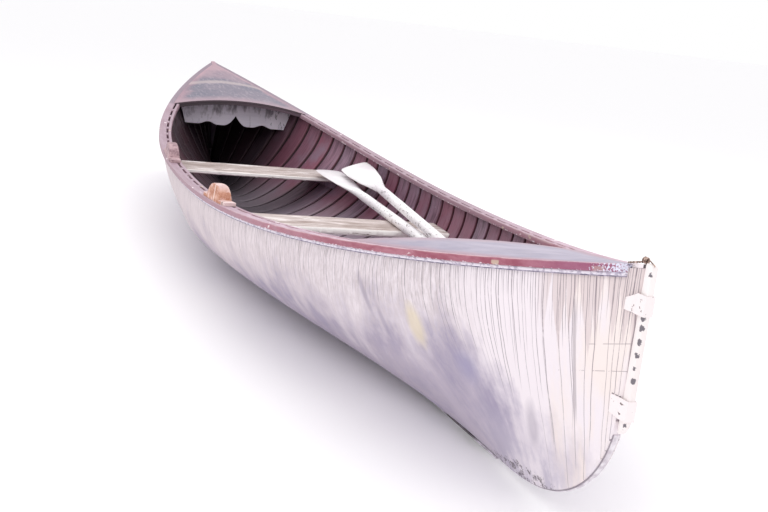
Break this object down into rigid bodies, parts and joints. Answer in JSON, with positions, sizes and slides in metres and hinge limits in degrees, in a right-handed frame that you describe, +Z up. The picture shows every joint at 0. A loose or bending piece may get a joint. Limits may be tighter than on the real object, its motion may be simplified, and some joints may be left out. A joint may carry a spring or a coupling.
{
  "type": "guideboat",
  "caption": "Double-ended wooden rowing boat with a painted canvas hull, ribbed interior, end decks, thwarts and loose oars, weathered.",
  "frame": {"origin": "on the floor under the middle of the boat", "axes": "+X to the bow, +Y to port, +Z up"},
  "size_m": [4.88, 1.11, 0.6678],
  "materials": {
    "white_painted_canvas": "filled and painted off-white, cracked and stained",
    "varnished_ribs": "old dark varnish",
    "red_painted_rail": "faded maroon paint, pale and worn on top",
    "grey_painted_deck": "weathered grey-mauve paint",
    "weathered_grey_board": "bare and weathered grey",
    "bare_weathered_wood": "bare and bleached",
    "bare_orange_wood": "bare, orange-brown",
    "white_painted_oar": "white paint, worn",
    "painted_iron": "painted over like the hull",
    "dull_brass_band": "dull and dark",
    "rusty_wire": "rusty"
  },
  "bodies": {
    "hull": {"canvas_skin": "white_painted_canvas", "ribs_and_planking": "varnished_ribs", "stem_bow": "varnished_ribs", "stem_stern": "varnished_ribs", "keel_shoe": "white_painted_canvas", "stem_band_bow": "dull_brass_band", "stem_band_stern": "dull_brass_band", "stern_post": "white_painted_canvas", "strap_upper": "painted_iron", "strap_lower": "painted_iron", "outwale_port": "red_painted_rail", "outwale_starboard": "red_painted_rail", "inwale_port": "red_painted_rail", "inwale_starboard": "red_painted_rail", "deck_bow": "grey_painted_deck", "deck_beam_bow": "varnished_ribs", "deck_stern": "grey_painted_deck", "deck_beam_stern": "varnished_ribs", "scalloped_board": "weathered_grey_board", "thwart_forward": "bare_weathered_wood", "cleat_forward_port": "varnished_ribs", "cleat_forward_starboard": "varnished_ribs", "thwart_aft": "bare_weathered_wood", "cleat_aft_port": "varnished_ribs", "cleat_aft_starboard": "varnished_ribs", "oar_block_forward": "bare_orange_wood", "oar_block_aft": "bare_orange_wood", "stern_eye": "rusty_wire"},
    "oar_inboard": {"oar_inboard": "white_painted_oar"},
    "oar_outboard": {"oar_outboard": "white_painted_oar"}
  },
  "joints": [
    {"name": "oar_inboard_lift", "type": "slide", "parent": "hull", "child": "oar_inboard", "axis": [0, 0.6, 0.8], "range_m": [0, 0.35]},
    {"name": "oar_outboard_lift", "type": "slide", "parent": "oar_inboard", "child": "oar_outboard", "axis": [0, 0.6, 0.8], "range_m": [0, 0.2]}
  ]
}
